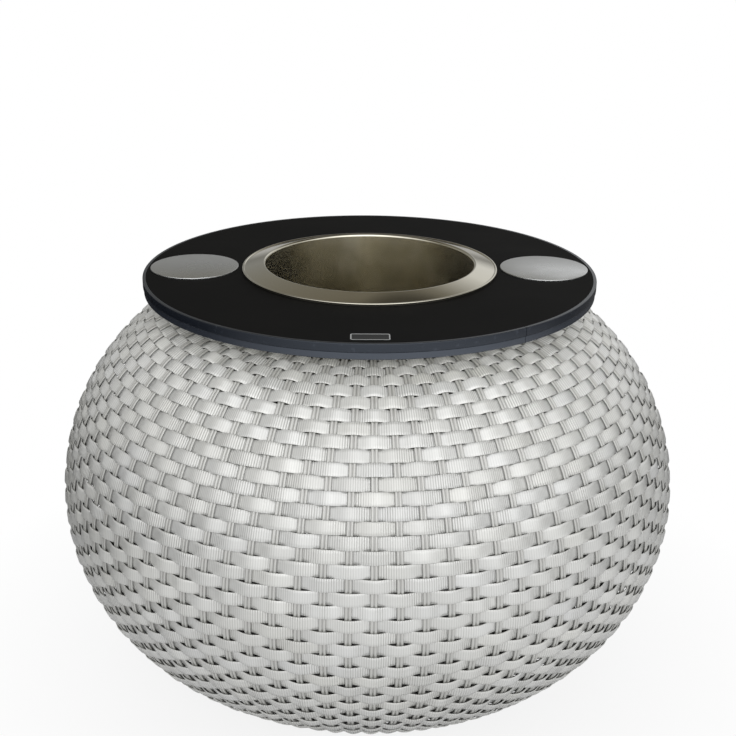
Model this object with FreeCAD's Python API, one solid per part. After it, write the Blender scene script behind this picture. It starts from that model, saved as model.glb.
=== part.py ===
import FreeCAD, Part
import math
import os

# Ice bucket coffee table. A ball-shaped woven wall is laid over a welded frame of
# curved ribs, rings and hoops, which carries a round black board. A steel bucket
# hangs by its flange in the middle of the board, and a steel coaster lies in a
# shallow recess on each side of it. Sizes are in millimetres, the origin is on
# the floor under the middle of the ball, and the front is at -Y.

os.makedirs("parts", exist_ok=True)

V = FreeCAD.Vector
UP = V(0, 0, 1)
CENTRE = V(0, 0, 0)
FULL_TURN = 360.0

# Clearance between neighbouring pieces
gap = 0.3

# Woven ball: its outline is drawn with arcs above and below the widest level
belly_radius = 300.0
belly_flat = 34.0
upper_arc_radius = 211.7
upper_arc_end = 51.5
shoulder_radius = 90.0
cap_slope = 12.0
lower_arc_radius = 189.8
weave_above_floor = 8.7
weave_thickness = 5.0

# The wall has flat sides inside, so many from one rib to the next. Outside it is
# quilted as a coarse picture of the weave: its corners lie by turns on the ball and
# behind it, as a strap passes over one upright and behind the next.
sides_per_rib = 6
shoulder_chords = 2
upper_arc_chords = 4
lower_arc_chords = 6
quilt_upper_chords = 6
quilt_lower_chords = 9
quilt_depth = 1.8

# Frame inside the weave, bent from flat bar
rib_count = 8
rib_width = 12.0
rib_thickness = 4.0
hoop_width = 14.0
hoop_thickness = 3.0
lower_hoop_chords = 3
top_ring_radius = 150.0
top_ring_thickness = 6.0
top_ring_below_ribs = 3.0
base_ring_radius = 134.0
base_ring_thickness = 6.0
base_ring_above_ribs = 3.0

# Glides that clip on the lower edge of the base ring
glide_count = 6
glide_length = 16.0
glide_wall = 3.0
glide_sole = 4.0
glide_groove_depth = 4.0

# Angle brackets that hold the board down on the top ring
bracket_count = 6
bracket_width = 18.0
bracket_reach = 27.0
bracket_drop = 18.0
bracket_thickness = 3.5

# Round board and its edge band
board_above_weave = 8.0
board_thickness = 14.4
band_thickness = 3.0
band_lower_set_back = 0.8
band_upper_height = 7.4
band_top_chamfer = 0.7
band_joint_gap = 0.5
band_joint_angle = -53.9

# Bucket of drawn sheet, with a raised flange that rests on the board
bucket_wall = 1.5
bucket_mouth_radius = 99.0
bucket_mouth_drop = 4.5
bucket_mouth_slope = 3.5
bucket_ridge_width = 3.5
bucket_ridge_rise = 7.6
bucket_flange_width = 15.2
bucket_lip_height = 3.0
bucket_depth = 190.0
bucket_corner = 14.0
bucket_hole_clearance = 3.0

# Coasters in their recesses, between the bucket's flange and the board's edge
coaster_radius = 41.6
coaster_thickness = 3.0
coaster_recess_depth = 2.2
coaster_to_bucket = 4.0
coaster_to_edge = 5.2


# Arcs of the ball's outline: middle, radius and the angles where each one ends
def on_arc(middle, radius, angle):
    turn = math.radians(angle)
    return middle[0] + radius * math.cos(turn), middle[1] + radius * math.sin(turn)


side_count = rib_count * sides_per_rib
half_side = math.pi / side_count
cap_angle = 90.0 - cap_slope
cap_end_radius = top_ring_radius + gap
foot_end_radius = base_ring_radius + gap
foot_reach = foot_end_radius - (belly_radius - lower_arc_radius)
belly_height = weave_above_floor + math.sqrt(lower_arc_radius ** 2 - foot_reach ** 2)
lower_middle = (belly_radius - lower_arc_radius, belly_height)
upper_middle = (belly_radius - upper_arc_radius, belly_height)
shoulder_middle = on_arc(upper_middle, upper_arc_radius - shoulder_radius, upper_arc_end)
upper_arc_start = math.degrees(belly_flat / 2 / upper_arc_radius)
lower_arc_start = math.degrees(belly_flat / 2 / lower_arc_radius)
lower_arc_end = math.degrees(math.acos(foot_reach / lower_arc_radius))


def spaced(first, last, count):
    return [first + (last - first) * step / count for step in range(count + 1)]


def cap_end(depth):
    start = on_arc(shoulder_middle, shoulder_radius - depth, cap_angle)
    rise = (start[0] - cap_end_radius) * math.tan(math.radians(cap_slope))
    return cap_end_radius, start[1] + rise


def foot_end(depth):
    drop = math.sqrt((lower_arc_radius - depth) ** 2 - foot_reach ** 2)
    return foot_end_radius, lower_middle[1] - drop


def ball_outline(depth, upper_chords=upper_arc_chords, lower_chords=lower_arc_chords):
    """Corners from the top opening down to the base, at a depth behind the outer face."""
    shoulder = spaced(cap_angle, upper_arc_end, shoulder_chords)
    upper = spaced(upper_arc_end, upper_arc_start, upper_chords)
    lower = spaced(-lower_arc_start, -lower_arc_end, lower_chords)
    corners = [cap_end(depth)]
    corners += [on_arc(shoulder_middle, shoulder_radius - depth, angle) for angle in shoulder]
    corners += [on_arc(upper_middle, upper_arc_radius - depth, angle) for angle in upper[1:]]
    corners += [on_arc(lower_middle, lower_arc_radius - depth, angle) for angle in lower[:-1]]
    return corners + [foot_end(depth)]


def belly_corner(upper_chords):
    """Number of the outline's corner where the belly begins."""
    return 1 + shoulder_chords + upper_chords


def band_ends(upper_chords, lower_chords):
    """Numbers of the corners where the wall's three bands begin and end."""
    belly = belly_corner(upper_chords)
    base = belly + 1 + lower_chords // 3
    return [0, belly - upper_chords // 2, base, belly + 1 + lower_chords]


belly_chord = belly_corner(upper_arc_chords)
rib_face = weave_thickness + gap
rib_back = rib_face + rib_thickness
hoop_face = rib_back + gap

# Levels and radii of the board, the bucket and the coasters
board_underside = cap_end(0)[1] + board_above_weave
table_height = board_underside + board_thickness
bucket_ridge_inner = bucket_mouth_radius + bucket_mouth_slope
bucket_ridge_outer = bucket_ridge_inner + bucket_ridge_width
bucket_flange_radius = bucket_ridge_outer + bucket_flange_width
coaster_centre = bucket_flange_radius + coaster_to_bucket + coaster_radius
table_radius = coaster_centre + coaster_radius + coaster_to_edge


# Ways to make the solids
def polygon_face(corners):
    return Part.Face(Part.makePolygon(corners + corners[:1]))


def section(outline):
    return polygon_face([V(across, 0, up) for across, up in outline])


def turned(outline, angle=FULL_TURN):
    return section(outline).revolve(CENTRE, UP, angle)


def corners_at(step, outline):
    """The outline's corners in the plane between two flat sides."""
    turn = half_side * (2 * step - 1)
    across = math.cos(turn) / math.cos(half_side)
    along = math.sin(turn) / math.cos(half_side)
    return [V(radius * across, radius * along, up) for radius, up in outline]


def closed_solid(faces):
    shell = Part.makeShell(faces)
    shell.sewShape()
    solid = Part.makeSolid(shell)
    if solid.Volume < 0:
        solid.reverse()
    return solid


def flat_sided(outline):
    """A closed ring of the outline with flat sides, whose middles lie at its radii."""
    rings = [corners_at(step, outline) for step in range(side_count + 1)]
    faces = []
    for here, there in zip(rings, rings[1:]):
        for index in range(len(outline)):
            before = index - 1
            faces.append(polygon_face([here[before], here[index], there[index], there[before]]))
    return closed_solid(faces)


def box_section(inner, outer, bottom, top):
    return [(inner, bottom), (outer, bottom), (outer, top), (inner, top)]


def bar(outline, width):
    """A straight bar of the outline, centred across the X axis."""
    face = section(outline)
    face.translate(V(0, -width / 2, 0))
    return face.extrude(V(0, width, 0))


def around(shape, count, first=0.0):
    copies = []
    for step in range(count):
        copy = shape.copy()
        copy.rotate(CENTRE, UP, first + FULL_TURN * step / count)
        copies.append(copy)
    return copies


def cylinder(radius, height, x, bottom):
    return Part.makeCylinder(radius, height, V(x, 0, bottom), UP)


# Woven wall: three bands that meet face to face
def raised(step, level):
    return (step + level) % 2 == 0


def quilted_corners(step):
    """Corners of the wall's face at one step round it: on the ball and behind it by turns."""
    on_ball = ball_outline(0, quilt_upper_chords, quilt_lower_chords)
    behind = ball_outline(quilt_depth, quilt_upper_chords, quilt_lower_chords)
    outline = []
    for level, pair in enumerate(zip(on_ball, behind)):
        radius, up = pair[0] if raised(step, level) else pair[1]
        outline.append((radius * math.cos(half_side), up))
    outline[0], outline[-1] = on_ball[0], on_ball[-1]
    return corners_at(step, outline)


def folded(first, second, third, fourth, fold_from_first):
    """Two triangles that fold along one of the diagonals of four corners."""
    if fold_from_first:
        return [polygon_face([first, second, third]), polygon_face([first, third, fourth])]
    return [polygon_face([first, second, fourth]), polygon_face([second, third, fourth])]


def woven_band(number):
    """One band of the wall, quilted outside and with flat sides inside."""
    top, bottom = band_ends(quilt_upper_chords, quilt_lower_chords)[number:number + 2]
    first, last = band_ends(upper_arc_chords, lower_arc_chords)[number:number + 2]
    inner = ball_outline(weave_thickness)
    sides = [(quilted_corners(step), corners_at(step, inner)) for step in range(side_count + 1)]
    faces = []
    for step, ((face, back), (next_face, next_back)) in enumerate(zip(sides, sides[1:])):
        for level in range(top, bottom):
            below = level + 1
            faces += folded(face[level], face[below], next_face[below], next_face[level],
                            raised(step, level))
        for level in range(first, last):
            below = level + 1
            faces.append(polygon_face([back[level], back[below], next_back[below],
                                       next_back[level]]))
        for outside, inside in ((top, first), (bottom, last)):
            faces += folded(face[outside], back[inside], next_back[inside],
                            next_face[outside], raised(step, outside))
    return closed_solid(faces)


# Frame
def frame_rib():
    return bar(ball_outline(rib_face) + ball_outline(rib_back)[::-1], rib_width)


def between(first, last, share):
    return tuple(a + (b - a) * share for a, b in zip(first, last))


def hoop(chord):
    """Flat hoop against the backs of the ribs, centred on one chord of the outline."""
    corners = []
    for depth, order in ((hoop_face, 1), (hoop_face + hoop_thickness, -1)):
        start, end = ball_outline(depth)[chord:chord + 2]
        half = hoop_width / 2 / math.dist(start, end)
        corners += [between(start, end, 0.5 - half), between(start, end, 0.5 + half)][::order]
    return flat_sided(corners)


def top_ring():
    bottom = cap_end(rib_back)[1] - top_ring_below_ribs
    inner = top_ring_radius - top_ring_thickness
    return flat_sided(box_section(inner, top_ring_radius, bottom, board_underside))


def base_ring():
    top = foot_end(rib_back)[1] + base_ring_above_ribs
    inner = base_ring_radius - base_ring_thickness
    return flat_sided(box_section(inner, base_ring_radius, glide_sole, top))


def floor_glide():
    """A channel whose groove takes the lower edge of the base ring."""
    groove_inner = base_ring_radius - base_ring_thickness - gap
    groove_outer = base_ring_radius + gap
    top = glide_sole + glide_groove_depth
    channel = [(groove_inner - glide_wall, 0), (groove_outer + glide_wall, 0),
               (groove_outer + glide_wall, top), (groove_outer, top),
               (groove_outer, glide_sole), (groove_inner, glide_sole),
               (groove_inner, top), (groove_inner - glide_wall, top)]
    return bar(channel, glide_length)


def bracket():
    outer = top_ring_radius - top_ring_thickness - gap
    leg = outer - bracket_thickness
    low = board_underside - bracket_drop
    flat = board_underside - bracket_thickness
    angle_bar = [(outer - bracket_reach, flat), (leg, flat), (leg, low), (outer, low),
                 (outer, board_underside), (outer - bracket_reach, board_underside)]
    return bar(angle_bar, bracket_width)


# Board with the bucket's hole and the coasters' recesses
def tabletop():
    radius = table_radius - band_thickness - gap
    hole_radius = bucket_mouth_radius + bucket_wall + bucket_hole_clearance
    board = cylinder(radius, board_thickness, 0, board_underside)
    board = board.cut(cylinder(hole_radius, board_thickness, 0, board_underside))
    recess_floor = table_height - coaster_recess_depth
    for x in (-coaster_centre, coaster_centre):
        board = board.cut(cylinder(coaster_radius + gap, coaster_recess_depth, x, recess_floor))
    return board


def edge_band():
    """Stepped band with one butt joint: its upper half stands proud of the lower."""
    inner = table_radius - band_thickness
    lower_radius = table_radius - band_lower_set_back
    step = table_height - band_upper_height
    profile = [(inner, board_underside), (lower_radius, board_underside),
               (lower_radius, step), (table_radius, step),
               (table_radius, table_height - band_top_chamfer),
               (table_radius - band_top_chamfer, table_height), (inner, table_height)]
    joint = math.degrees(band_joint_gap / table_radius)
    band = turned(profile, FULL_TURN - joint)
    band.rotate(CENTRE, UP, band_joint_angle + joint / 2)
    return band


# Bucket: the number of its skin's corner at the inner edge of the ridge
bucket_ridge_inner_corner = 3


def bucket_skin(behind):
    """Corners from the flange's lip up over its ridge and down to the base."""
    rest = table_height + gap
    ridge = rest + bucket_ridge_rise
    floor = ridge - bucket_depth
    lip = bucket_flange_radius - behind
    mouth = bucket_mouth_radius + behind
    return [(lip, rest), (lip, rest + bucket_lip_height - behind),
            (bucket_ridge_outer, ridge - behind), (bucket_ridge_inner, ridge - behind),
            (mouth, ridge - bucket_mouth_drop - behind), (mouth, floor + bucket_corner),
            (bucket_mouth_radius - bucket_corner, floor - behind), (0, floor - behind)]


def ice_bucket():
    """The skin that shows, backed by the same skin with a single edge in its ridge."""
    back = bucket_skin(bucket_wall)
    del back[bucket_ridge_inner_corner]
    return turned(bucket_skin(0) + back[::-1])


def coaster(x):
    bottom = table_height - coaster_recess_depth + gap
    return cylinder(coaster_radius, coaster_thickness, x, bottom)


# The nodes
bracket_start = FULL_TURN / bracket_count / 2

nodes = {
    "woven_top": woven_band(0),
    "woven_belly": woven_band(1),
    "woven_base": woven_band(2),
    "top_ring": top_ring(),
    "belly_hoop": hoop(belly_chord),
    "lower_hoop": hoop(belly_chord + lower_hoop_chords),
    "base_ring": base_ring(),
    "tabletop": tabletop(),
    "edge_band": edge_band(),
    "ice_bucket": ice_bucket(),
    "coaster_left": coaster(-coaster_centre),
    "coaster_right": coaster(coaster_centre),
}
groups = {
    "frame_rib": around(frame_rib(), rib_count),
    "floor_glide": around(floor_glide(), glide_count),
    "board_bracket": around(bracket(), bracket_count, bracket_start),
}
for name, copies in groups.items():
    for number, copy in enumerate(copies, 1):
        nodes[f"{name}_{number}"] = copy

for name, shape in nodes.items():
    shape.exportStep("parts/" + name + ".step")
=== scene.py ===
import math

import bmesh
import bpy
import numpy as np
from mathutils import Matrix, Vector

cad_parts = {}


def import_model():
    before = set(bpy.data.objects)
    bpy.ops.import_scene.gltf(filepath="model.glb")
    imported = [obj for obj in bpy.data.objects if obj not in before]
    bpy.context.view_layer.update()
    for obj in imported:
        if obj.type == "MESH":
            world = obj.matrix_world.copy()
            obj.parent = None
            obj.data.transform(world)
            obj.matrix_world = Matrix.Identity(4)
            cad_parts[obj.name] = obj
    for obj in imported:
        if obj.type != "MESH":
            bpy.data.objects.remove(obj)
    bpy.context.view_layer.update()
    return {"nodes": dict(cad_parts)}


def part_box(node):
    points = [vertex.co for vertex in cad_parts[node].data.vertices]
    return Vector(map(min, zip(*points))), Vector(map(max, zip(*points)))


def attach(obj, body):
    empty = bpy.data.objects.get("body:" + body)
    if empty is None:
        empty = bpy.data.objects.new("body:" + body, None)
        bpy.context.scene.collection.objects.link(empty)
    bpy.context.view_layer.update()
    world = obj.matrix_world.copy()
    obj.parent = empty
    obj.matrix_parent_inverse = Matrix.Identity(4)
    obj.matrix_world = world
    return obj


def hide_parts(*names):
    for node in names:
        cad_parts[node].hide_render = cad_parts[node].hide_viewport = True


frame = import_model()

# The looks of an ice bucket coffee table. The wall that the frame has as closed
# bands is woven here from straps over uprights, and the bucket, the edge band and
# the coasters get their bends. All lengths are in metres, in the frame's own axes.

MM = 0.001
TURN = 2 * math.pi

# Ball: arcs of its meridian. The arc length s counts from the belly, up is negative
BELLY_RADIUS = 0.300
BELLY_HEIGHT = 0.19696
UPPER_ARC = 0.2117
UPPER_END = math.radians(51.5)
SHOULDER_ARC = 0.090
SHOULDER_END = math.radians(78.0)
LOWER_ARC = 0.1898

# Straps: rows round the ball that pass over every second upright
ROWS = 47
ROW_PITCH = 11.307 * MM
FIRST_ROW = -258.9 * MM
STRAP_WIDTH = 11.3 * MM
STRAP_THICKNESS = 1.0 * MM
STRAP_CROWN = 0.07 * MM
STRAP_WAVE = 1.95 * MM
LOW_STRAP_WAVE = 2.05 * MM
LOW_WAVE_RANGE = (60 * MM, 150 * MM)
STRAP_STEPS = 14
STRAP_SEED = 11
RIB_PITCH = 1.95 * MM
# Painted light: rows under the board get a paler tone, against the board's shade
PAINTED_LIGHT_RANGE = (100 * MM, 220 * MM)
PAINTED_LIGHT_TONE = 6

# Drift along a strap: numbers of waves round the ball, and their size
ROW_DRIFT = ((2, 5, 9, 14), 0.16 * MM)
TONE_DRIFT = ((3, 7, 12, 19, 31), 0.5)
TINT_DRIFT = ((2, 4, 11), 0.5)
DEPTH_DRIFT = ((13, 29, 53, 88, 131), 0.7)

# Spread between patches, a patch being the part of a strap that shows over an upright
PATCH_LIFT = 0.07
PATCH_SHIFT = 0.14 * MM
PATCH_ROLL_DEGREES = 1.5
PATCH_WIDENING = 0.012
PATCH_TONE = 0.6
PATCH_TINT = 0.4
PATCH_DEPTH = 0.4

# Lean: change of tone (painted sheen and shade) and rib depth from one end of a patch to the
# other
PATCH_LEAN = 1.6
USUAL_LEAN = 0.7
LEAN_IN_PAINTED_SHEEN = 0.8
LEAN_IN_DEPTH = 0.6

# Uprights: strands down the ball
UPRIGHTS = 92
FIRST_UPRIGHT = math.radians(-90 + 0.29)
UPRIGHT_WIDTH = 5.9 * MM
UPRIGHT_FILL = 0.63
UPRIGHT_NARROWEST = 0.5
UPRIGHT_STEPS = 132
UPRIGHT_SWAY = 0.3 * MM
UPRIGHT_DRIFT = 0.25 * MM
UPRIGHT_DRIFT_LENGTH = 70 * MM
UPRIGHT_SHIFT = 0.12 * MM
UPRIGHT_TONE = 0.7
UPRIGHT_PAST_TOP = 5.5 * MM
UPRIGHT_PAST_BASE = 6.5 * MM
UPRIGHT_SEED = 5

# Section of an upright: share of its half width, height in mm, share of painted shade in its
# groove and along its edges
UPRIGHT_SECTION = np.array([
    (-1.0, -0.4, 1.0), (-0.98, 0.1, 0.7), (-0.84, 0.66, 0.15), (-0.52, 0.9, 0.0),
    (-0.2, 0.62, 0.2), (0.0, -0.2, 0.8), (0.2, 0.62, 0.2), (0.52, 0.9, 0.0),
    (0.84, 0.66, 0.15), (0.98, 0.1, 0.7), (1.0, -0.4, 1.0), (0.85, -0.6, 1.0),
    (-0.85, -0.6, 1.0)])

# Borders: round strands twisted about each other along both ends of the wall
TOP_BORDER = -261.0 * MM
BASE_BORDER = 270.0 * MM
BORDER_STRANDS = 3
BORDER_STRAND = 2.0 * MM
BORDER_REACH = 0.95 * BORDER_STRAND
BORDER_MIDDLE = -2.2 * BORDER_STRAND
BORDER_TWIST = 26.0 * MM
BORDER_STEPS = 14
BORDER_POINTS = 10

# Board with its edge band and plate
TABLE_TOP = 0.40954
BOARD_RADIUS = 0.2136
BAND_STEP = TABLE_TOP - 7.4 * MM
BAND_THICKNESS = 3.0 * MM
BAND_SET_BACK = 0.8 * MM
BAND_SHORTER = 1.0 * MM
BAND_GROOVE = 0.5 * MM
BAND_JOINT = math.radians(-53.9)
BAND_GAP = 0.5 * MM
BAND_LOOPS = 361
PLATE_CENTRE = (-2.2 * MM, -196.9 * MM)
PLATE_SIZE = (31.8 * MM, 14.2 * MM)
PLATE_CORNER = 2.0 * MM
PLATE_RISE = 0.25 * MM
PLATE_RIM = 0.9 * MM

# Bucket and coasters
FLANGE_RADIUS = 0.1212
FLANGE_REST = TABLE_TOP + 0.3 * MM
MOUTH_RADIUS = 0.0990
MOUTH_EDGE = (98.2 * MM, 99.5 * MM)
BUCKET_WALL = 1.3 * MM
BUCKET_FLOOR = 1.5 * MM
BUCKET_CORNER = 16.0 * MM
BUCKET_SEGMENTS = 256
BUCKET_PINHOLE = 0.4 * MM
COASTER_CENTRE = 0.1668
COASTER_EDGE = 0.35 * MM
COASTER_SEGMENTS = 160
COASTER_PINHOLE = 0.3 * MM

# Camera, fitted to the photograph
CAMERA_PLACE = (-0.017, -1.040, 0.7102)
CAMERA_PITCH = math.radians(21.20)
CAMERA_YAW = math.radians(0.90)
CAMERA_ROLL = math.radians(0.56)
CAMERA_LENS = 55.17
CAMERA_SENSOR = 36.0

# Studio
KEY_PLACE = (0.24, -2.04, 1.16)
KEY_TARGET = (0, 0, 0.25)
KEY_SIZE = 0.7
KEY_POWER = 18.5
FLOOR_HALF = 3.0


# Ball
def arc_points(s):
    """Radius, height and normal angle of the ball's meridian at arc lengths s."""
    s = np.asarray(s, dtype=float)
    upper_length = UPPER_ARC * UPPER_END
    shoulder_length = SHOULDER_ARC * (SHOULDER_END - UPPER_END)
    up = np.clip(-s, 0, upper_length) / UPPER_ARC
    shoulder = np.clip(-s - upper_length, 0, shoulder_length) / SHOULDER_ARC
    cap = np.clip(-s - upper_length - shoulder_length, 0, None)
    low = np.clip(s, 0, None) / LOWER_ARC
    angle = up + shoulder
    radius = BELLY_RADIUS - UPPER_ARC * (1 - np.cos(up))
    height = BELLY_HEIGHT + UPPER_ARC * np.sin(up)
    radius = radius + SHOULDER_ARC * (np.cos(angle) - np.cos(up))
    height = height + SHOULDER_ARC * (np.sin(angle) - np.sin(up))
    radius = radius - cap * np.sin(angle)
    height = height + cap * np.cos(angle)
    radius = radius - LOWER_ARC * (1 - np.cos(low))
    height = height - LOWER_ARC * np.sin(low)
    return radius, height, angle - low


def ball_place(theta, s, across, out):
    """Points at azimuth theta and arc length s, moved across the strap and outwards."""
    radius, height, angle = arc_points(s)
    ring = radius + across * np.sin(angle) + out * np.cos(angle)
    up = height - across * np.cos(angle) + out * np.sin(angle)
    return np.stack([ring * np.cos(theta), ring * np.sin(theta), up], axis=-1)


# Meshes
def grid_faces(loops, points, closed):
    """Quads over loops of a closed section, which run in a ring if closed."""
    i = np.arange(loops if closed else loops - 1)[:, None]
    j = np.arange(points)[None, :]
    right = (j + 1) % points
    below = (i + 1) % loops
    quads = [i * points + j, i * points + right, below * points + right, below * points + j]
    return np.stack(np.broadcast_arrays(*quads), axis=-1).reshape(-1, 4)


def strand_faces(strands, loops, points):
    """Quads of several equal open strands that follow each other."""
    one = grid_faces(loops, points, closed=False)
    starts = np.arange(strands)[:, None, None] * loops * points
    return (one[None] + starts).reshape(-1, 4)


def add_object(name, data):
    """A new object in the scene."""
    obj = bpy.data.objects.new(name, data)
    bpy.context.scene.collection.objects.link(obj)
    return obj


def make_mesh(name, verts, quads, attributes=None, sharp=None):
    """A smooth-shaded mesh object from arrays, with float attributes per point."""
    mesh = bpy.data.meshes.new(name)
    mesh.vertices.add(len(verts))
    mesh.vertices.foreach_set("co", verts.astype(np.float32).ravel())
    mesh.loops.add(quads.size)
    mesh.loops.foreach_set("vertex_index", quads.astype(np.int32).ravel())
    mesh.polygons.add(len(quads))
    mesh.polygons.foreach_set("loop_start", np.arange(0, quads.size, 4, dtype=np.int32))
    mesh.polygons.foreach_set("use_smooth", np.ones(len(quads), dtype=bool))
    for key, values in (attributes or {}).items():
        layer = mesh.attributes.new(key, "FLOAT", "POINT")
        layer.data.foreach_set("value", values.astype(np.float32).ravel())
    mesh.update()
    mesh.validate()
    if sharp:
        mesh.set_sharp_from_angle(angle=math.radians(sharp))
    return add_object(name, mesh)


def ripple(rng, theta, waves, size):
    """A smooth closed wave round the ball with random parts, of about that size."""
    value = np.zeros_like(theta)
    for wave in waves:
        value += rng.normal() * np.sin(wave * theta + rng.uniform(0, TURN))
    return size * value / math.sqrt(len(waves))


def share(value, start, end):
    """0 up to the start and 1 from the end on."""
    return np.clip((np.asarray(value) - start) / (end - start), 0, 1)


# Weave
def wave_size(s):
    """How far straps swing in and out: more in the tight rows towards the base."""
    low = share(s, *LOW_WAVE_RANGE)
    return STRAP_WAVE + (LOW_STRAP_WAVE - STRAP_WAVE) * low * low * (3 - 2 * low)


def weave_middle(s):
    """Middle of the wall, so far behind the ball's face that the crests touch it."""
    return -(wave_size(s) + STRAP_THICKNESS / 2 + STRAP_CROWN)


def painted_light_under_board(s):
    """Painted light: tone that paints the rows under the board paler than the belly's."""
    return PAINTED_LIGHT_TONE * share(-np.asarray(s), *PAINTED_LIGHT_RANGE)


def strap_wave(phase):
    """1 over every even upright and -1 behind every odd one, an arc over each."""
    near = np.abs((phase + 1) % 2 - 1)
    return np.cos(math.pi * near)


def strap_section():
    """Section of a strap, crowned in front: across, out and share of painted edge shade."""
    half = STRAP_WIDTH / 2
    flank = 0.93 * half
    quarter = 0.45 * half
    thick = STRAP_THICKNESS / 2
    side = 0.3 * thick
    shoulder = thick + 0.75 * STRAP_CROWN
    return np.array([
        (-half, -side, 1), (-half, side, 1), (-flank, thick, 0), (-quarter, shoulder, 0),
        (0, thick + STRAP_CROWN, 0), (quarter, shoulder, 0), (flank, thick, 0),
        (half, side, 1), (half, -side, 1), (flank, -thick, 0.5), (-flank, -thick, 0.5)])


def row_azimuths(row, phase):
    """Azimuths along a row, whose phase counts uprights from the back of the ball."""
    back = UPRIGHTS // 2 - UPRIGHTS // 2 % 2
    upright = phase - (row + 1) % 2 + back
    return FIRST_UPRIGHT + TURN * upright / UPRIGHTS


def per_patch(rng, patch, spread, middle=0):
    """A random value for every patch, the same all along it."""
    return rng.normal(middle, spread, UPRIGHTS // 2)[patch]


def row_points(rng, place, theta, phase, patch):
    """One row's strap, whose patches differ a little in height, place, roll and width."""
    across, high, _ = strap_section().T
    wave = strap_wave(phase)
    crest = np.clip(wave, 0, 1)
    lift = 1 + per_patch(rng, patch, PATCH_LIFT)
    out = wave_size(place) * wave * np.where(wave > 0, lift, 1) + weave_middle(place)
    shift = ripple(rng, theta - theta[0], *ROW_DRIFT)
    shift = shift + crest * per_patch(rng, patch, PATCH_SHIFT)
    roll = crest * np.radians(per_patch(rng, patch, PATCH_ROLL_DEGREES))
    roll_in, roll_up = np.cos(roll)[:, None], np.sin(roll)[:, None]
    across = across * (1 + crest * per_patch(rng, patch, PATCH_WIDENING))[:, None]
    turned_across = across * roll_in - high * roll_up
    turned_out = across * roll_up + high * roll_in
    centre = (place + shift)[:, None] + np.zeros_like(across)
    points = ball_place(theta[:, None], centre, turned_across, turned_out + out[:, None])
    return points.reshape(-1, 3)


def row_looks(rng, place, theta, phase, patch):
    """Values along a row for its material: length, tone, tint and depth of the ribs."""
    around = theta - theta[0]
    tone = ripple(rng, around, *TONE_DRIFT)
    # Painted sheen and shade: tone and rib depth change across each patch, one end lighter than
    # the other
    lean = ((phase + 1) % 2 - 1) * per_patch(rng, patch, PATCH_LEAN, USUAL_LEAN)
    tint = ripple(rng, around, *TINT_DRIFT)
    depth = ripple(rng, around, *DEPTH_DRIFT)
    # Painted light: the rows under the board get a paler tone
    tone = tone + painted_light_under_board(place) + LEAN_IN_PAINTED_SHEEN * lean
    depth = depth + LEAN_IN_DEPTH * lean
    return {
        "along": arc_points(place)[0] * around + rng.uniform(0, 1),
        "tone": tone + per_patch(rng, patch, PATCH_TONE),
        "tint": tint + per_patch(rng, patch, PATCH_TINT),
        "depth": depth + per_patch(rng, patch, PATCH_DEPTH),
    }


def weave_straps():
    """Rows of strap. Each starts and ends behind an upright at the back of the ball."""
    rng = np.random.default_rng(STRAP_SEED)
    patches = UPRIGHTS // 2
    loops = STRAP_STEPS * patches + 1
    phase = 1 + 2 * np.arange(loops) / STRAP_STEPS
    patch = ((phase + 1) // 2).astype(int) % patches
    rim = strap_section()[:, 2]
    verts, looks = [], []
    for row in range(ROWS):
        place = FIRST_ROW + ROW_PITCH * row
        theta = row_azimuths(row, phase)
        verts.append(row_points(rng, place, theta, phase, patch))
        looks.append(row_looks(rng, place, theta, phase, patch))
    layers = {}
    for key in looks[0]:
        layers[key] = np.repeat(np.concatenate([look[key] for look in looks]), len(rim))
    # Painted shade along each strap's edges, as a share per section point
    layers["rim"] = np.tile(rim, ROWS * loops)
    quads = strand_faces(ROWS, loops, len(rim))
    return make_mesh("woven_straps", np.concatenate(verts), quads, layers)


def weave_uprights():
    """Flat strands with two round ribs, which sway against the straps."""
    rng = np.random.default_rng(UPRIGHT_SEED)
    across, high, groove = UPRIGHT_SECTION.T
    across = across * UPRIGHT_WIDTH / 2
    last_row = FIRST_ROW + ROW_PITCH * (ROWS - 1)
    s = np.linspace(FIRST_ROW - UPRIGHT_PAST_TOP, last_row + UPRIGHT_PAST_BASE, UPRIGHT_STEPS)
    row = (s - FIRST_ROW) / ROW_PITCH
    radius = arc_points(s)[0]
    pitch = TURN * radius / UPRIGHTS
    width = np.clip(UPRIGHT_FILL * pitch / UPRIGHT_WIDTH, UPRIGHT_NARROWEST, 1)
    zero = np.zeros((len(s), len(groove)))
    verts, along, tone = [], [], []
    for number in range(UPRIGHTS):
        theta = FIRST_UPRIGHT + TURN * number / UPRIGHTS
        sign = -1 if number % 2 else 1
        out = sign * UPRIGHT_SWAY * np.cos(math.pi * row) + weave_middle(s)
        bend = np.sin(s / UPRIGHT_DRIFT_LENGTH + rng.uniform(0, TURN))
        drift = UPRIGHT_DRIFT * bend + rng.normal(0, UPRIGHT_SHIFT)
        turn = theta + (across * width[:, None] + drift[:, None]) / radius[:, None]
        centre = s[:, None] + zero
        verts.append(ball_place(turn, centre, zero, high * MM + out[:, None]).reshape(-1, 3))
        along.append((centre + rng.uniform(0, 1)).ravel())
        # Painted light: the uprights under the board get a paler tone
        tone.append((zero + painted_light_under_board(s)[:, None] + rng.normal(0, UPRIGHT_TONE)).ravel())
    quads = strand_faces(UPRIGHTS, len(s), len(groove))[:, ::-1]
    # The groove layer carries the painted shade of each section point
    layers = {"along": np.concatenate(along), "tone": np.concatenate(tone),
              "groove": np.tile(groove, UPRIGHTS * len(s))}
    return make_mesh("woven_uprights", np.concatenate(verts), quads, layers)


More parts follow.
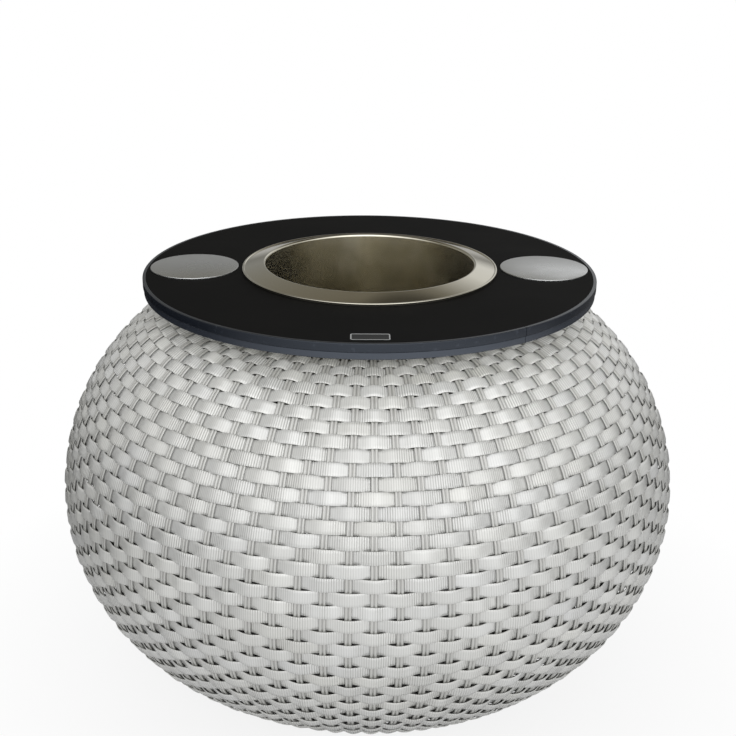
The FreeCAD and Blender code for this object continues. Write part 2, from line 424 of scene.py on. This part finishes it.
def weave_border(name, place):
    """A twisted border of round strands along one end of the wall."""
    radius = arc_points(place)[0]
    twists = round(TURN * radius / BORDER_TWIST)
    steps = twists * BORDER_STEPS
    theta = TURN * np.arange(steps + 1) / steps
    angle = TURN * np.arange(BORDER_POINTS) / BORDER_POINTS
    round_across = BORDER_STRAND * np.cos(angle)
    round_out = BORDER_STRAND * np.sin(angle)
    verts = []
    for strand in range(BORDER_STRANDS):
        twist = (theta * twists + TURN * strand / BORDER_STRANDS)[:, None]
        across = BORDER_REACH * np.cos(twist) + round_across
        out = BORDER_MIDDLE + BORDER_REACH * np.sin(twist) + round_out
        centre = place + np.zeros_like(across)
        verts.append(ball_place(theta[:, None], centre, across, out).reshape(-1, 3))
    quads = strand_faces(BORDER_STRANDS, steps + 1, BORDER_POINTS)
    verts = np.concatenate(verts)
    layers = {"along": np.repeat(np.tile(theta * radius, BORDER_STRANDS), BORDER_POINTS),
              "tone": np.zeros(len(verts)), "groove": np.zeros(len(verts))}
    return make_mesh(name, verts, quads, layers)


# Turned and swept pieces
def rounded(bends, steps):
    """A polyline through corners, given as radius, height and the radius of their arc."""
    points = []
    for index, (across, height, radius) in enumerate(bends):
        corner = Vector((across, height))
        if radius == 0:
            points.append(tuple(corner))
            continue
        back = (Vector(bends[index - 1][:2]) - corner).normalized()
        on = (Vector(bends[index + 1][:2]) - corner).normalized()
        half = back.angle(on) / 2
        reach = radius / math.tan(half)
        middle = corner + (back + on).normalized() * (radius / math.sin(half))
        start = (corner + back * reach - middle).normalized()
        end = (corner + on * reach - middle).normalized()
        for step in range(steps + 1):
            points.append(tuple(middle + radius * start.slerp(end, step / steps)))
    return points


def turned(outline, turn):
    """Points of an outline of (radius, height) corners at each of the azimuths given."""
    radius, height = np.array(outline).T
    turn = turn[:, None]
    ring = [radius * np.cos(turn), radius * np.sin(turn), height + 0 * turn]
    return np.stack(ring, axis=-1).reshape(-1, 3)


def lathe(name, outline, segments, sharp):
    """A closed outline turned round the upright axis."""
    verts = turned(outline, TURN * np.arange(segments) / segments)
    quads = grid_faces(segments, len(outline), closed=True)
    return make_mesh(name, verts, quads, sharp=sharp)


def offset_line(line, distance):
    """The polyline moved sideways, square to its own run."""
    line = np.array(line)
    run = np.gradient(line, axis=0)
    run /= np.linalg.norm(run, axis=1)[:, None]
    return line + distance * np.stack([run[:, 1], -run[:, 0]], axis=-1)


def ice_bucket():
    """Drawn steel bucket: beaded lip, sloped flange, mouth and rounded base."""
    box_low, box_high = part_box("ice_bucket")
    top = box_high[2]
    floor = box_low[2] + BUCKET_FLOOR
    lip = FLANGE_RADIUS - 0.1 * MM
    # From the lip's lower edge over the flange and down the mouth to the axis
    bends = [
        (lip, FLANGE_REST + 0.2 * MM, 0),
        (lip, FLANGE_REST + 2.8 * MM, 0.7 * MM),
        (lip - 1.5 * MM, FLANGE_REST + 2.9 * MM, 0.5 * MM),
        (lip - 2.4 * MM, FLANGE_REST + 2.2 * MM, 0.8 * MM),
        (MOUTH_RADIUS, top, 2.2 * MM),
        (MOUTH_RADIUS, floor, BUCKET_CORNER),
        (BUCKET_PINHOLE, floor, 0),
    ]
    skin = rounded(bends, steps=8)
    back = offset_line(skin, -BUCKET_WALL)
    back[:, 0] = np.clip(back[:, 0], BUCKET_PINHOLE, None)
    outline = skin + [tuple(point) for point in back[::-1]]
    return lathe("ice_bucket_drawn", outline, BUCKET_SEGMENTS, sharp=50)


def coaster(name, x):
    """A flat disc with softened edges."""
    low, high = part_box(name)
    radius = (high[0] - low[0]) / 2
    bottom, top = low[2], high[2]
    bends = [(COASTER_PINHOLE, bottom, 0), (radius, bottom, COASTER_EDGE),
             (radius, top, COASTER_EDGE), (COASTER_PINHOLE, top, 0)]
    disc = lathe(name + "_disc", rounded(bends, steps=3), COASTER_SEGMENTS, sharp=35)
    disc.location = (x, 0.0, 0.0)
    return disc


def close_ends(obj):
    """Flat caps over the open ends of a swept mesh."""
    made = bmesh.new()
    made.from_mesh(obj.data)
    open_edges = [edge for edge in made.edges if edge.is_boundary]
    bmesh.ops.holes_fill(made, edges=open_edges)
    made.to_mesh(obj.data)
    made.free()


def edge_band():
    """Stepped band with softened edges, a groove under its upper half and a butt joint.

    It ends a little above the board's underside, which shows as a dark line below it.
    """
    low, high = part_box("edge_band")
    outer = (high[0] - low[0]) / 2
    inner = outer - BAND_THICKNESS
    lower = outer - BAND_SET_BACK
    groove = lower - BAND_GROOVE
    bottom, top = low[2] + BAND_SHORTER, high[2]
    soft = 0.4 * MM
    bends = [
        (inner, bottom, 0), (lower, bottom, soft), (lower, BAND_STEP - 0.5 * MM, 0.1 * MM),
        (groove, BAND_STEP - 0.2 * MM, 0), (groove, BAND_STEP, 0), (outer, BAND_STEP, soft),
        (outer, top, 0.5 * MM), (inner, top, 0)]
    outline = rounded(bends, steps=4)
    half_gap = BAND_GAP / BOARD_RADIUS / 2
    turn = BAND_JOINT + np.linspace(half_gap, TURN - half_gap, BAND_LOOPS)
    quads = grid_faces(BAND_LOOPS, len(outline), closed=False)[:, ::-1]
    obj = make_mesh("edge_band_strip", turned(outline, turn), quads)
    close_ends(obj)
    obj.data.set_sharp_from_angle(angle=math.radians(40))
    return obj


# Plate
def rounded_rectangle(size, radius, inset, steps=5):
    """Corners of a rounded rectangle round the origin, moved in by an inset."""
    points = []
    radius = radius - 0.8 * inset
    for corner, (sign_x, sign_y) in enumerate(((1, 1), (-1, 1), (-1, -1), (1, -1))):
        middle_x = sign_x * (size[0] / 2 - inset - radius)
        middle_y = sign_y * (size[1] / 2 - inset - radius)
        for step in range(steps + 1):
            angle = (corner + step / steps) * math.pi / 2
            points.append((middle_x + radius * math.cos(angle),
                           middle_y + radius * math.sin(angle)))
    return points


def bare_plate():
    """A thin plate with rounded corners and a raised rim, on the board near its front."""
    made = bmesh.new()
    edges = ((0.0, 0.0), (0.0, PLATE_RISE), (PLATE_RIM, PLATE_RISE),
             (1.25 * PLATE_RIM, 0.4 * PLATE_RISE))
    loops = []
    for inset, height in edges:
        loop = []
        for x, y in rounded_rectangle(PLATE_SIZE, PLATE_CORNER, inset):
            place = (PLATE_CENTRE[0] + x, PLATE_CENTRE[1] + y, TABLE_TOP + height)
            loop.append(made.verts.new(place))
        loops.append(loop)
    for first, second in zip(loops, loops[1:]):
        for index in range(len(first)):
            made.faces.new([first[index - 1], first[index], second[index], second[index - 1]])
    made.faces.new(loops[-1])
    made.faces.new(loops[0][::-1])
    mesh = bpy.data.meshes.new("bare_plate")
    made.to_mesh(mesh)
    made.free()
    return add_object("bare_plate", mesh)


# Nodes and colours
class Nodes:
    """Short calls for the nodes of one material or world."""

    def __init__(self, owner):
        owner.use_nodes = True
        self.tree = owner.node_tree
        self.tree.nodes.clear()

    def add(self, kind, **settings):
        node = self.tree.nodes.new(kind)
        for key, value in settings.items():
            setattr(node, key, value)
        return node

    def put(self, socket, value):
        """Link an output to a socket, or set the socket to a plain value."""
        if hasattr(value, "is_output"):
            self.tree.links.new(value, socket)
        else:
            socket.default_value = value

    def math(self, operation, *values):
        node = self.add("ShaderNodeMath", operation=operation)
        for socket, value in zip(node.inputs, values):
            self.put(socket, value)
        return node.outputs[0]

    def times(self, first, *others):
        for other in others:
            first = self.math("MULTIPLY", first, other)
        return first

    def plus(self, first, *others):
        for other in others:
            first = self.math("ADD", first, other)
        return first

    def most(self, first, *others):
        for other in others:
            first = self.math("MAXIMUM", first, other)
        return first

    def attribute(self, name):
        return self.add("ShaderNodeAttribute", attribute_name=name).outputs["Fac"]

    def coordinate(self, kind="Object"):
        return self.add("ShaderNodeTexCoord").outputs[kind]

    def split(self, vector):
        node = self.add("ShaderNodeSeparateXYZ")
        self.put(node.inputs[0], vector)
        return node.outputs

    def from_axis(self, x, y):
        """Distance from the upright axis."""
        return self.math("SQRT", self.plus(self.times(x, x), self.times(y, y)))

    def toward(self, direction, target):
        """Dot product of a direction and a fixed vector."""
        node = self.add("ShaderNodeVectorMath", operation="DOT_PRODUCT")
        self.put(node.inputs[0], direction)
        self.put(node.inputs[1], target)
        return node.outputs["Value"]

    def noise(self, vector, scale, detail):
        node = self.add("ShaderNodeTexNoise")
        self.put(node.inputs["Vector"], vector)
        self.put(node.inputs["Scale"], scale)
        self.put(node.inputs["Detail"], detail)
        return node.outputs["Fac"]

    def ranged(self, value, start, end):
        """The value mapped so that start and end, pairs of (from, to), hold; clamped."""
        node = self.add("ShaderNodeMapRange")
        self.put(node.inputs["Value"], value)
        for name, number in (("From Min", start[0]), ("To Min", start[1]),
                             ("From Max", end[0]), ("To Max", end[1])):
            self.put(node.inputs[name], number)
        return node.outputs["Result"]

    def blend(self, factor, first, second, kind="MIX"):
        node = self.add("ShaderNodeMix", data_type="RGBA", blend_type=kind)
        self.put(node.inputs[0], factor)
        self.put(node.inputs[6], first)
        self.put(node.inputs[7], second)
        return node.outputs[2]

    def grey(self, value):
        node = self.add("ShaderNodeCombineColor")
        for socket in node.inputs[:3]:
            self.put(socket, value)
        return node.outputs[0]

    def toned(self, colour, tone):
        return self.blend(1.0, colour, self.grey(tone), "MULTIPLY")

    def bump(self, height, strength, distance, normal=None):
        node = self.add("ShaderNodeBump")
        self.put(node.inputs["Height"], height)
        self.put(node.inputs["Strength"], strength)
        self.put(node.inputs["Distance"], distance)
        if normal is not None:
            self.put(node.inputs["Normal"], normal)
        return node.outputs["Normal"]

    def background(self, colour):
        node = self.add("ShaderNodeBackground")
        self.put(node.inputs["Color"], colour)
        return node.outputs[0]

    def emission(self, colour):
        node = self.add("ShaderNodeEmission")
        self.put(node.inputs["Color"], colour)
        return node.outputs[0]

    def mixed(self, factor, first, second):
        node = self.add("ShaderNodeMixShader")
        for socket, value in zip(node.inputs, (factor, first, second)):
            self.put(socket, value)
        return node.outputs[0]

    def show(self, shader, kind="Material"):
        """Make the shader the surface of the material or world."""
        node = self.add("ShaderNodeOutput" + kind)
        self.put(node.inputs["Surface"], shader)

    def surface(self, colour, roughness, normal, metallic=0.0, **others):
        node = self.add("ShaderNodeBsdfPrincipled")
        self.put(node.inputs["Base Color"], colour)
        self.put(node.inputs["Roughness"], roughness)
        self.put(node.inputs["Normal"], normal)
        self.put(node.inputs["Metallic"], metallic)
        for name, value in others.items():
            self.put(node.inputs[name.replace("_", " ")], value)
        self.show(node.outputs[0])


def new_material(name):
    """An empty material and the calls for its nodes."""
    material = bpy.data.materials.new(name)
    return material, Nodes(material)


def rgb(red, green, blue):
    """Linear colour from screen values of 0 to 255."""
    parts = [value / 255 for value in (red, green, blue)]
    return [((v + 0.055) / 1.055) ** 2.4 if v > 0.04045 else v / 12.92 for v in parts] + [1.0]


WHITE = (1, 1, 1, 1)
STRAP_COOL = rgb(225, 226, 225)
STRAP_WARM = rgb(225, 225, 220)
# Painted shade in the straps' rib grooves
STRAP_GROOVE_SHADE = rgb(150, 150, 145)
# Painted shade along the straps' edges
STRAP_EDGE_SHADE = rgb(118, 118, 112)
UPRIGHT_RIB = rgb(182, 182, 178)
# Painted shade in the uprights' grooves and along their edges
UPRIGHT_GROOVE_SHADE = rgb(104, 104, 99)
BOARD_DARK = rgb(13, 13, 13)
BOARD_LIGHT = rgb(16, 16, 16)
BOARD_SPECK = rgb(66, 66, 64)
BOARD_UNDERSIDE = rgb(214, 213, 208)
BAND_UPPER = (rgb(20, 23, 30), rgb(29, 33, 40))
BAND_LOWER = (rgb(38, 42, 50), rgb(48, 52, 60))
BAND_WORN = rgb(52, 56, 64)
BAND_SHINE = (0.78, 0.87, 1.0, 1.0)
BUCKET_STEEL = rgb(208, 204, 190)
COASTER_STEEL = rgb(212, 214, 215)
PLATE_BRIGHT = (rgb(178, 181, 182), rgb(206, 208, 208))
PLATE_DARK = (rgb(26, 28, 30), rgb(44, 46, 48))
FRAME_PAINT = rgb(150, 150, 144)
GLIDE_PLASTIC = rgb(45, 45, 46)
FLOOR_PALE = (0.62, 0.62, 0.62, 1)
CARD = rgb(44, 42, 36)

# The room that shiny things mirror, from straight below (0) to straight above (1)
ROOM = ((0.0, rgb(100, 98, 92)), (0.5, rgb(96, 94, 88)), (0.62, rgb(146, 146, 144)),
        (0.72, rgb(138, 136, 129)), (0.845, rgb(122, 117, 105)), (0.875, rgb(80, 75, 66)),
        (0.93, rgb(80, 76, 67)), (1.0, rgb(56, 52, 43)))

# A soft sheen under a clear coat, which straps and uprights share
SATIN = {"Diffuse_Roughness": 0.5, "Specular_IOR_Level": 1.0, "Coat_Weight": 1.0,
         "Coat_IOR": 2.0, "Coat_Roughness": 0.28}


# Materials
def strap_material():
    """Strap with ribs across it, whose depth, tone and tint vary from patch to patch."""
    material, n = new_material("woven_strap")
    turn = n.times(n.attribute("along"), TURN / RIB_PITCH)
    rib = n.math("POWER", n.math("ABSOLUTE", n.math("SINE", n.times(turn, 0.5))), 0.8)
    depth = n.ranged(n.attribute("depth"), (-0.8, 0.15), (1.0, 1.0))
    groove = n.times(n.math("SUBTRACT", 1.0, rib), depth)
    warm = n.ranged(n.attribute("tint"), (-1.3, 0.0), (1.3, 1.0))
    # The tone carries painted light under the board and a painted sheen along each patch
    tone = n.ranged(n.attribute("tone"), (-3.0, 0.64), (9.0, 1.14))
    colour = n.toned(n.blend(warm, STRAP_COOL, STRAP_WARM), tone)
    # Painted shade: the ribs' grooves are darkened
    colour = n.blend(n.times(groove, 0.95), colour, STRAP_GROOVE_SHADE)
    # Painted shade: the strap's edges are darkened
    colour = n.blend(n.times(n.attribute("rim"), 0.35), colour, STRAP_EDGE_SHADE)
    grain = n.noise(n.coordinate(), scale=900.0, detail=3.0)
    normal = n.bump(n.times(rib, depth), strength=0.9, distance=0.32 * MM)
    normal = n.bump(grain, strength=0.12, distance=0.1 * MM, normal=normal)
    rough = n.ranged(n.math("SINE", turn), (-1.0, 0.32), (1.0, 0.26))
    n.surface(colour, rough, normal, **SATIN, Coat_Normal=normal)
    return material


def upright_material():
    """Strand, with painted shade in its groove and along its edges."""
    material, n = new_material("woven_upright")
    # The tone carries painted light on the uprights under the board
    tone = n.ranged(n.attribute("tone"), (-1.6, 0.9), (7.6, 1.33))
    colour = n.toned(n.blend(n.attribute("groove"), UPRIGHT_RIB, UPRIGHT_GROOVE_SHADE), tone)
    grain = n.noise(n.coordinate(), scale=700.0, detail=3.0)
    normal = n.bump(grain, strength=0.15, distance=0.1 * MM)
    n.surface(colour, 0.26, normal, **SATIN, Coat_Normal=normal)
    return material


def board_material():
    """Dull black laminate with fine specks, and a pale underside."""
    material, n = new_material("board_face")
    place = n.coordinate()
    dust = n.noise(place, scale=420.0, detail=2.0)
    speck = n.ranged(dust, (0.74, 0.0), (0.80, 0.35))
    patch = n.noise(place, scale=9.0, detail=4.0)
    colour = n.blend(speck, n.blend(patch, BOARD_DARK, BOARD_LIGHT), BOARD_SPECK)
    down = n.toward(n.coordinate("Normal"), (0.0, 0.0, -1.0))
    colour = n.blend(n.ranged(down, (0.5, 0.0), (0.9, 1.0)), colour, BOARD_UNDERSIDE)
    rough = n.ranged(patch, (0.3, 0.62), (0.7, 0.7))
    grain = n.noise(place, scale=1400.0, detail=2.0)
    normal = n.bump(grain, strength=0.08, distance=0.1 * MM)
    n.surface(colour, rough, normal, Specular_IOR_Level=0.06)
    return material


def band_material():
    """Streaked charcoal band, shinier and paler below its step and worn in places."""
    material, n = new_material("band_edge")
    place = n.coordinate()
    height = n.split(place)[2]
    squashed = n.add("ShaderNodeMapping")
    n.put(squashed.inputs["Vector"], place)
    n.put(squashed.inputs["Scale"], (1.0, 1.0, 60.0))
    streak = n.noise(squashed.outputs[0], scale=30.0, detail=4.0)
    lower = n.ranged(height, (BAND_STEP - 0.3 * MM, 1.0), (BAND_STEP, 0.0))
    colour = n.blend(lower, n.blend(streak, *BAND_UPPER), n.blend(streak, *BAND_LOWER))
    wear = n.noise(place, scale=160.0, detail=3.0)
    worn = n.ranged(wear, (0.62, 0.0), (0.72, 0.5))
    edge = n.ranged(height, (TABLE_TOP - 0.6 * MM, 1.0), (TABLE_TOP - 0.3 * MM, 1.3))
    shine = n.times(n.ranged(lower, (0.0, 0.5), (1.0, 0.85)), edge)
    normal = n.bump(streak, strength=0.25, distance=0.1 * MM)
    n.surface(n.blend(worn, colour, BAND_WORN), 0.26, normal,
              Specular_IOR_Level=shine, Specular_Tint=BAND_SHINE)
    return material


def steel_material(name, colour, roughness, lines, inside=None):
    """Steel with fine rings round the piece's own upright axis.

    A bucket's inside, within its mouth, may have a roughness of its own.
    """
    material, n = new_material(name)
    place = n.coordinate()
    x, y, z = n.split(place)
    radius = n.from_axis(x, y)
    ring = n.add("ShaderNodeCombineXYZ")
    n.put(ring.inputs["X"], radius)
    n.put(ring.inputs["Z"], z)
    if inside:
        roughness = n.ranged(radius, (MOUTH_EDGE[0], inside), (MOUTH_EDGE[1], roughness))
    smear = n.noise(place, scale=28.0, detail=3.0)
    roughness = n.times(roughness, n.ranged(smear, (0.3, 0.8), (0.7, 1.25)))
    rings = n.noise(ring.outputs[0], scale=1500.0, detail=2.0)
    normal = n.bump(rings, strength=lines, distance=0.05 * MM)
    n.surface(colour, roughness, normal, metallic=1.0)
    return material


def plate_material():
    """Dark plate whose raised rim is worn bright."""
    material, n = new_material("bare_plate")
    place = n.coordinate()
    height = n.split(place)[2]
    raised = n.ranged(height, (TABLE_TOP + 0.15 * MM, 0.0), (TABLE_TOP + 0.22 * MM, 1.0))
    grain = n.noise(place, scale=900.0, detail=3.0)
    colour = n.blend(raised, n.blend(grain, *PLATE_DARK), n.blend(grain, *PLATE_BRIGHT))
    normal = n.bump(grain, strength=0.2, distance=0.05 * MM)
    n.surface(colour, 0.45, normal, metallic=0.4)
    return material


def plain_material(name, colour, roughness, grain):
    """Paint or plastic with a faint cloud in its tone and a fine grain."""
    material, n = new_material(name)
    place = n.coordinate()
    cloud = n.noise(place, scale=14.0, detail=4.0)
    tone = n.ranged(cloud, (0.3, 0.9), (0.7, 1.05))
    fine = n.noise(place, scale=grain, detail=2.0)
    normal = n.bump(fine, strength=0.15, distance=0.1 * MM)
    n.surface(n.toned(colour, tone), roughness, normal)
    return material


# Table
def dress_weave(strap):
    """Straps, uprights and borders in place of the woven bands."""
    straps = weave_straps()
    straps.data.materials.append(strap)
    uprights = weave_uprights()
    top_border = weave_border("woven_border_top", TOP_BORDER)
    base_border = weave_border("woven_border_base", BASE_BORDER)
    strand = upright_material()
    for obj in (uprights, top_border, base_border):
        obj.data.materials.append(strand)
    for obj in (straps, uprights, top_border, base_border):
        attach(obj, "table")
    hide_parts("woven_top", "woven_belly", "woven_base")


def dress_steel(steel):
    """Bucket and coasters with bends and softened edges."""
    bucket = ice_bucket()
    bucket.data.materials.append(steel)
    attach(bucket, "bucket")
    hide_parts("ice_bucket")

    disc = steel_material("coaster_steel", COASTER_STEEL, roughness=0.28, lines=0.12)
    for side, x in (("left", -COASTER_CENTRE), ("right", COASTER_CENTRE)):
        piece = coaster(f"coaster_{side}", x)
        piece.data.materials.append(disc)
        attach(piece, f"{side}_coaster")
        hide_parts(f"coaster_{side}")


def dress_board(band_look):
    """Edge band with its groove and joint, and the plate on the board."""
    band = edge_band()
    band.data.materials.append(band_look)
    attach(band, "table")
    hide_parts("edge_band")

    plate = bare_plate()
    plate.data.materials.append(plate_material())
    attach(plate, "table")


def dress_nodes(looks, other):
    """Give each CAD node the look that its name begins with, or else the other one."""
    for name, node in frame["nodes"].items():
        fitting = [look for start, look in looks.items() if name.startswith(start)]
        node.data.materials.clear()
        node.data.materials.append(fitting[0] if fitting else other)


def table():
    """All pieces and looks of the table."""
    strap = strap_material()
    steel = steel_material("bucket_steel", BUCKET_STEEL, roughness=0.08, lines=0.05, inside=0.4)
    band = band_material()
    dress_weave(strap)
    dress_steel(steel)
    dress_board(band)
    glide = plain_material("glide_plastic", GLIDE_PLASTIC, roughness=0.55, grain=600.0)
    paint = plain_material("frame_paint", FRAME_PAINT, roughness=0.45, grain=800.0)
    looks = {"woven": strap, "ice_bucket": steel, "coaster": steel, "edge_band": band,
             "tabletop": board_material(), "floor_glide": glide}
    dress_nodes(looks, paint)


# Camera and studio
def aim(obj, place, target, roll=0.0):
    """Put an object at a place, looking at the target."""
    direction = Vector(target) - Vector(place)
    turn = direction.to_track_quat("-Z", "Y").to_matrix().to_4x4()
    obj.matrix_world = Matrix.Translation(place) @ turn @ Matrix.Rotation(roll, 4, "Z")


def camera():
    """Camera at the photograph's place and angle."""
    data = bpy.data.cameras.new("camera")
    data.sensor_width = CAMERA_SENSOR
    data.lens = CAMERA_LENS
    obj = add_object("camera", data)
    level = math.cos(CAMERA_PITCH)
    look = Vector((level * math.sin(CAMERA_YAW), level * math.cos(CAMERA_YAW),
                   -math.sin(CAMERA_PITCH)))
    aim(obj, CAMERA_PLACE, Vector(CAMERA_PLACE) + look, CAMERA_ROLL)
    bpy.context.scene.camera = obj


def key_light():
    """Square light high in front of the table, which shiny things don't mirror."""
    data = bpy.data.lights.new("key", "AREA")
    data.shape = "SQUARE"
    data.size = KEY_SIZE
    data.energy = KEY_POWER
    obj = add_object("key", data)
    obj.visible_glossy = False
    aim(obj, KEY_PLACE, KEY_TARGET)


def room_by_height(n, z):
    """Grey of the mirrored room, by the upward part of the direction."""
    ramp = n.add("ShaderNodeValToRGB")
    n.put(ramp.inputs[0], n.math("MULTIPLY_ADD", z, 0.5, 0.5))
    elements = ramp.color_ramp.elements
    elements[0].position, elements[0].color = ROOM[0]
    elements[1].position, elements[1].color = ROOM[-1]
    for position, colour in ROOM[1:-1]:
        elements.new(position).color = colour
    return ramp.outputs[0]


def white_parts(n, direction):
    """White in the mirrored room: a softbox, the horizon behind and a wall to the right."""
    x, y, z = n.split(direction)
    softbox = n.ranged(n.toward(direction, (0.10, -0.45, 0.89)), (0.86, 0.0), (0.95, 0.5))
    level = n.ranged(n.math("ABSOLUTE", z), (0.06, 1.0), (0.16, 0.0))
    behind = n.ranged(y, (0.0, 0.0), (0.3, 1.0))
    right = n.ranged(x, (0.0, 0.0), (0.2, 0.75))
    wall_foot = n.ranged(z, (0.14, 0.0), (0.26, 1.0))
    wall_top = n.ranged(z, (0.4, 1.0), (0.6, 0.0))
    return n.most(softbox, n.times(level, behind, 0.4), n.times(right, wall_top, wall_foot))


def mirrored_room(n, direction):
    """What shiny things mirror: a dim room with white parts, a dark card and a bright front."""
    y, z = n.split(direction)[1:]
    card = n.ranged(n.toward(direction, (0.16, 0.64, 0.75)), (0.980, 0.0), (0.990, 0.75))
    colour = n.blend(card, room_by_height(n, z), CARD)
    colour = n.blend(white_parts(n, direction), colour, WHITE)
    ahead = n.ranged(n.toward(direction, (0.0, -0.85, 0.53)), (-0.4, 0.0), (1.0, 1.0))
    front = n.ranged(y, (-0.25, 1.8), (0.05, 0.0))
    return n.blend(1.0, colour, n.grey(n.times(n.math("POWER", ahead, 2.5), front)), "ADD")


def soft_light(n, direction):
    """Light on matt things: from the front, from behind and a little from all sides."""
    front = n.most(n.toward(direction, (0.2, -0.78, 0.6)), 0.0)
    back = n.most(n.toward(direction, (-0.2, 0.85, 0.45)), 0.0)
    return n.grey(n.plus(n.times(front, 0.55), n.times(back, 0.6), 0.22))


def world():
    """Soft light for matt things, a room for shiny ones, and plain white for the camera."""
    made = bpy.data.worlds.new("studio")
    bpy.context.scene.world = made
    n = Nodes(made)
    path = n.add("ShaderNodeLightPath").outputs
    direction = n.coordinate("Generated")
    white = n.background(WHITE)
    room = n.background(mirrored_room(n, direction))
    shown = n.mixed(path["Is Glossy Ray"], n.background(soft_light(n, direction)), room)
    shown = n.mixed(path["Is Transmission Ray"], shown, white)
    shown = n.mixed(path["Is Camera Ray"], shown, white)
    n.show(shown, "World")


def floor_material():
    """Pale; fades to white for the camera away from the table's foot.

    Shiny things mirror its far part as bright in front and dark behind.
    """
    material, n = new_material("floor")
    path = n.add("ShaderNodeLightPath").outputs
    place = n.coordinate()
    x, y = n.split(place)[:2]
    radius = n.from_axis(x, y)
    pale = n.add("ShaderNodeBsdfDiffuse")
    n.put(pale.inputs["Color"], FLOOR_PALE)
    beside = n.ranged(radius, (0.138, 0.0), (0.16, 0.84))
    away = n.ranged(radius, (0.16, 0.0), (0.5, 0.16))
    seen = n.times(path["Is Camera Ray"], n.plus(beside, away))
    shown = n.mixed(seen, pale.outputs[0], n.emission(WHITE))
    ahead = n.math("DIVIDE", n.toward(place, (0.2, -0.98, 0.0)), radius)
    front = n.ranged(ahead, (0.0, 0.0), (0.95, 1.1))
    side = n.ranged(n.math("DIVIDE", x, radius), (-0.9, 0.0), (0.9, 0.12))
    mirrored = n.emission(n.grey(n.plus(front, side)))
    far = n.ranged(radius, (0.3, 0.0), (0.7, 1.0))
    n.show(n.mixed(n.times(path["Is Glossy Ray"], far), shown, mirrored))
    return material


def floor():
    """Square floor that belongs to the stage."""
    half = FLOOR_HALF
    corners = np.array([(-half, -half, 0), (half, -half, 0), (half, half, 0), (-half, half, 0)])
    obj = make_mesh("floor", corners, np.array([[0, 1, 2, 3]]))
    obj.data.materials.append(floor_material())


table()
camera()
world()
floor()
key_light()
bpy.context.scene.view_settings.view_transform = "Standard"
